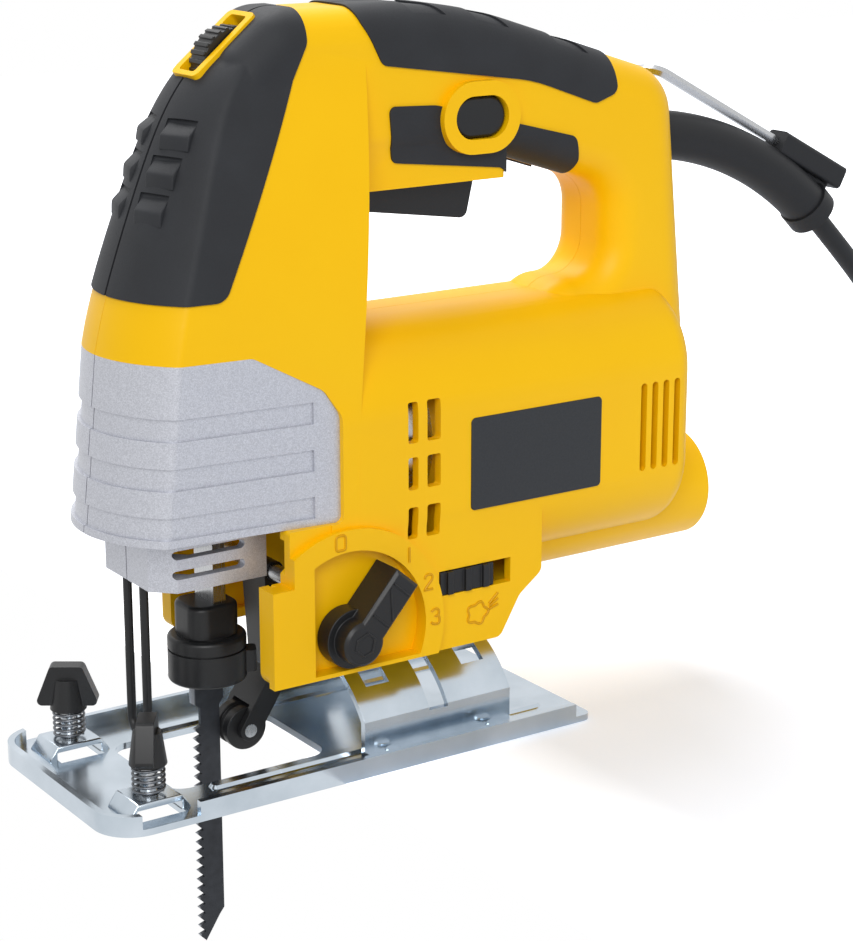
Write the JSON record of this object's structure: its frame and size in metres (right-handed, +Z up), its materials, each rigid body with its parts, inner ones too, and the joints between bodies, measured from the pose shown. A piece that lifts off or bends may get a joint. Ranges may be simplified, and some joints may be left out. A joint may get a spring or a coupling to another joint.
{
  "type": "corded jigsaw",
  "caption": "Corded hand jigsaw with a D handle, soft grips, a tilting sole, an orbit selector, a rear dust tube and a spring-loaded blade clamp.",
  "frame": {"origin": "on the sole, where the middle line of the saw blade crosses it", "axes": "+X to the rear of the tool, -Y the side that carries the orbit selector, +Z up from the sole"},
  "size_m": [0.4462, 0.1124, 0.2751],
  "materials": {
    "yellow_housing": "moulded ABS, fine texture",
    "silver_cover": "silver sparkle lacquer on die-cast metal",
    "soft_grip": "matt soft over-moulding",
    "black_plastic": "moulded black nylon",
    "yellow_trim": "moulded yellow ABS",
    "button_black": "moulded black ABS",
    "nameplate_black": "bare satin plate",
    "zinc_plate": "zinc-plated sheet steel",
    "bright_steel": "ground steel",
    "sinter_bronze": "sintered bronze, copper and brass",
    "blade_steel": "dark hardened tool steel",
    "cord_rubber": "black rubber"
  },
  "bodies": {
    "housing": {"housing_left": "yellow_housing", "housing_right": "yellow_housing", "gear_cover_left": "silver_cover", "gear_cover_right": "silver_cover", "finger_guard": "black_plastic", "front_grip_left": "soft_grip", "front_grip_right": "soft_grip", "handle_grip_left": "soft_grip", "handle_grip_right": "soft_grip", "side_panel_left": "soft_grip", "side_panel_right": "soft_grip", "dial_bezel": "yellow_trim", "nameplate": "nameplate_black", "switch_body": "black_plastic", "dust_tube": "yellow_housing", "housing_screws": "bright_steel", "bevel_clamp_plate": "bright_steel", "bevel_clamp_screw": "bright_steel", "gearbox_bracket": "bright_steel", "plunger_bushes": "sinter_bronze", "gear_axle": "bright_steel", "stator": "bright_steel", "front_bearing": "bright_steel", "rear_bearing": "bright_steel", "brush_holders": "black_plastic", "roller_arm_pin": "bright_steel", "strain_relief": "cord_rubber", "cord_clamp": "black_plastic", "power_cord": "cord_rubber", "cord_tie": "black_plastic", "plug_body": "black_plastic", "plug_pins": "sinter_bronze"},
    "speed_dial": {"speed_wheel": "black_plastic"},
    "trigger": {"trigger": "black_plastic"},
    "lock_button": {"lock_button": "button_black"},
    "selector": {"selector_lever": "black_plastic"},
    "blower": {"blower_slider": "black_plastic"},
    "base": {"base_plate": "zinc_plate", "saddle_bracket": "zinc_plate", "saddle_rivets": "zinc_plate", "fence_spring_left": "bright_steel", "fence_spring_right": "bright_steel"},
    "fence_screw_left": {"fence_screw_left": "black_plastic"},
    "fence_screw_right": {"fence_screw_right": "black_plastic"},
    "plunger": {"plunger": "bright_steel", "clamp_collar": "black_plastic", "saw_blade": "blade_steel"},
    "clamp_ring": {"clamp_ring": "black_plastic"},
    "armature": {"motor_shaft": "bright_steel", "pinion": "bright_steel", "armature_core": "bright_steel", "armature_windings": "sinter_bronze", "commutator": "sinter_bronze", "fan": "black_plastic"},
    "drive_gear": {"drive_gear": "bright_steel", "counterweight": "bright_steel"},
    "roller_arm": {"roller_arm": "black_plastic", "roller_pin": "bright_steel"},
    "guide_roller": {"guide_roller": "bright_steel"},
    "hex_key": {"hex_key": "bright_steel"}
  },
  "joints": [
    {"name": "base_tilt", "type": "hinge", "parent": "housing", "child": "base", "pos_m": [0.062, 0, -0.006], "axis": [1, 0, 0], "range_deg": [-45, 45]},
    {"name": "trigger_press", "type": "slide", "parent": "housing", "child": "trigger", "axis": [0, 0, 1], "range_m": [0, 0.006], "stiffness_N_per_m": 900},
    {"name": "lock_button_press", "type": "slide", "parent": "housing", "child": "lock_button", "axis": [0, 1, 0], "range_m": [0, 0.0025], "stiffness_N_per_m": 600},
    {"name": "speed_dial_turn", "type": "hinge", "parent": "housing", "child": "speed_dial", "pos_m": [0.01264, 0, 0.20199], "axis": [0, 1, 0], "range_deg": [-135, 135]},
    {"name": "orbit_select", "type": "hinge", "parent": "housing", "child": "selector", "pos_m": [0.0289, -0.036, 0.0423], "axis": [0, -1, 0], "range_deg": [-49, 43]},
    {"name": "blower_slide", "type": "slide", "parent": "housing", "child": "blower", "axis": [1, 0, 0], "range_m": [0, 0.006]},
    {"name": "armature_spin", "type": "hinge", "parent": "housing", "child": "armature", "pos_m": [0.06, 0, 0.092], "axis": [1, 0, 0], "continuous": true},
    {"name": "drive_gear_spin", "type": "hinge", "parent": "housing", "child": "drive_gear", "pos_m": [0.018, 0, 0.119], "axis": [1, 0, 0], "continuous": true},
    {"name": "plunger_stroke", "type": "slide", "parent": "housing", "child": "plunger", "axis": [0, 0, 1], "range_m": [0, 0.018]},
    {"name": "clamp_ring_turn", "type": "hinge", "parent": "plunger", "child": "clamp_ring", "pos_m": [0.001, 0, 0.032], "axis": [0, 0, 1], "range_deg": [0, 60], "stiffness_Nm_per_rad": 0.15},
    {"name": "roller_arm_swing", "type": "hinge", "parent": "housing", "child": "roller_arm", "pos_m": [0.02, 0, 0.056], "axis": [0, -1, 0], "range_deg": [0, 4]},
    {"name": "guide_roller_spin", "type": "hinge", "parent": "roller_arm", "child": "guide_roller", "pos_m": [0.0112, 0, 0.0085], "axis": [0, 1, 0], "continuous": true},
    {"name": "fence_screw_left_turn", "type": "hinge", "parent": "base", "child": "fence_screw_left", "pos_m": [-0.032, -0.025, 0.015], "axis": [0, 0, 1], "continuous": true},
    {"name": "fence_screw_right_turn", "type": "hinge", "parent": "base", "child": "fence_screw_right", "pos_m": [-0.032, 0.025, 0.015], "axis": [0, 0, 1], "continuous": true},
    {"name": "hex_key_draw", "type": "slide", "parent": "housing", "child": "hex_key", "axis": [-0.8848, 0, 0.4659], "range_m": [0, 0.03]}
  ],
  "couplings": [
    {"joint": "drive_gear_spin", "follows": "armature_spin", "ratio": -0.2}
  ]
}
